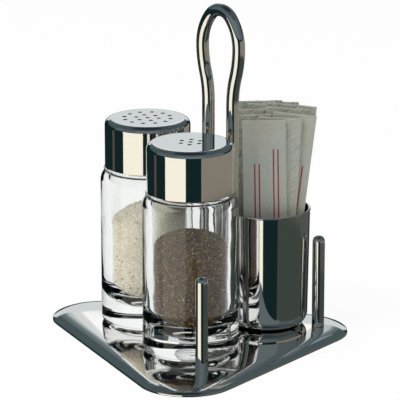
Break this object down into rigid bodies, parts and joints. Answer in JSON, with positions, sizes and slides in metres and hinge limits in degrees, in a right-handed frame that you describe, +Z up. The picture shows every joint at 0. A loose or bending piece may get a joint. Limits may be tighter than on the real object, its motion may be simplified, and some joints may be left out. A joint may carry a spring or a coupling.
{
  "type": "cruet stand",
  "caption": "Steel tray with a wire loop handle that carries glass shakers with screw caps and a cup of paper wrapped toothpicks",
  "frame": {"origin": "middle of the tray's bounding box, on the table", "axes": "+Z up, the handle's loop lies parallel to XZ, -Y is the front, the picture is seen from azimuth 42"},
  "size_m": [0.117, 0.1132, 0.1374],
  "materials": {
    "polished_steel": "mirror polished",
    "cap_steel": "mirror polished",
    "cup_steel": "mirror polished",
    "screw_steel": "turned",
    "jar_glass": "fire polished",
    "salt": "fine grains",
    "pepper": "coarse ground",
    "liner_plastic": "moulded",
    "seal_rubber": "soft",
    "sachet_paper": "thin paper"
  },
  "bodies": {
    "stand": {"tray": "polished_steel", "handle_loop": "polished_steel", "front_post": "polished_steel", "right_post": "polished_steel", "left_post": "polished_steel", "post_screws": "screw_steel", "handle_screws": "screw_steel"},
    "salt_shaker": {"salt_jar": "jar_glass", "salt_fill": "salt"},
    "salt_seal": {"salt_cap_seal": "seal_rubber"},
    "salt_cap": {"salt_cap": "cap_steel", "salt_cap_liner": "liner_plastic"},
    "pepper_shaker": {"pepper_jar": "jar_glass", "pepper_fill": "pepper"},
    "pepper_seal": {"pepper_cap_seal": "seal_rubber"},
    "pepper_cap": {"pepper_cap": "cap_steel", "pepper_cap_liner": "liner_plastic"},
    "toothpick_cup": {"cup": "cup_steel"},
    "front_sachet": {"toothpick_sachet_01": "sachet_paper"},
    "side_sachet": {"toothpick_sachet_03": "sachet_paper"},
    "sachet_bundle": {"toothpick_sachet_02": "sachet_paper", "toothpick_sachet_04": "sachet_paper", "toothpick_sachet_05": "sachet_paper", "toothpick_sachet_06": "sachet_paper", "toothpick_sachet_07": "sachet_paper", "toothpick_sachet_08": "sachet_paper", "toothpick_sachet_09": "sachet_paper", "toothpick_sachet_10": "sachet_paper", "toothpick_sachet_11": "sachet_paper"}
  },
  "joints": [
    {"name": "salt_lift", "type": "slide", "parent": "stand", "child": "salt_shaker", "axis": [0, 0, 1], "range_m": [0, 0.06]},
    {"name": "salt_cap_rise", "type": "slide", "parent": "salt_shaker", "child": "salt_seal", "axis": [0, 0, 1], "range_m": [0, 0.01226]},
    {"name": "salt_cap_turn", "type": "hinge", "parent": "salt_seal", "child": "salt_cap", "pos_m": [-0.0183, 0.0024, 0.078], "axis": [0, 0, 1], "range_deg": [0, 1260]},
    {"name": "pepper_lift", "type": "slide", "parent": "stand", "child": "pepper_shaker", "axis": [0, 0, 1], "range_m": [0, 0.06]},
    {"name": "pepper_cap_rise", "type": "slide", "parent": "pepper_shaker", "child": "pepper_seal", "axis": [0, 0, 1], "range_m": [0, 0.01226]},
    {"name": "pepper_cap_turn", "type": "hinge", "parent": "pepper_seal", "child": "pepper_cap", "pos_m": [0.0203, -0.0146, 0.078], "axis": [0, 0, 1], "range_deg": [0, 1260]},
    {"name": "cup_lift", "type": "slide", "parent": "stand", "child": "toothpick_cup", "axis": [0, 0, 1], "range_m": [0, 0.06]},
    {"name": "front_sachet_pull", "type": "slide", "parent": "toothpick_cup", "child": "front_sachet", "axis": [-0.0143, -0.0128, 0.9998], "range_m": [0, 0.05]},
    {"name": "side_sachet_pull", "type": "slide", "parent": "toothpick_cup", "child": "side_sachet", "axis": [0.0854, 0.0769, 0.9934], "range_m": [0, 0.05]},
    {"name": "sachet_bundle_lift", "type": "slide", "parent": "toothpick_cup", "child": "sachet_bundle", "axis": [0, 0, 1], "range_m": [0, 0.05]}
  ],
  "couplings": [
    {"joint": "salt_cap_rise", "follows": "salt_cap_turn", "m_per_rad": 0.00055704},
    {"joint": "pepper_cap_rise", "follows": "pepper_cap_turn", "m_per_rad": 0.00055704}
  ]
}
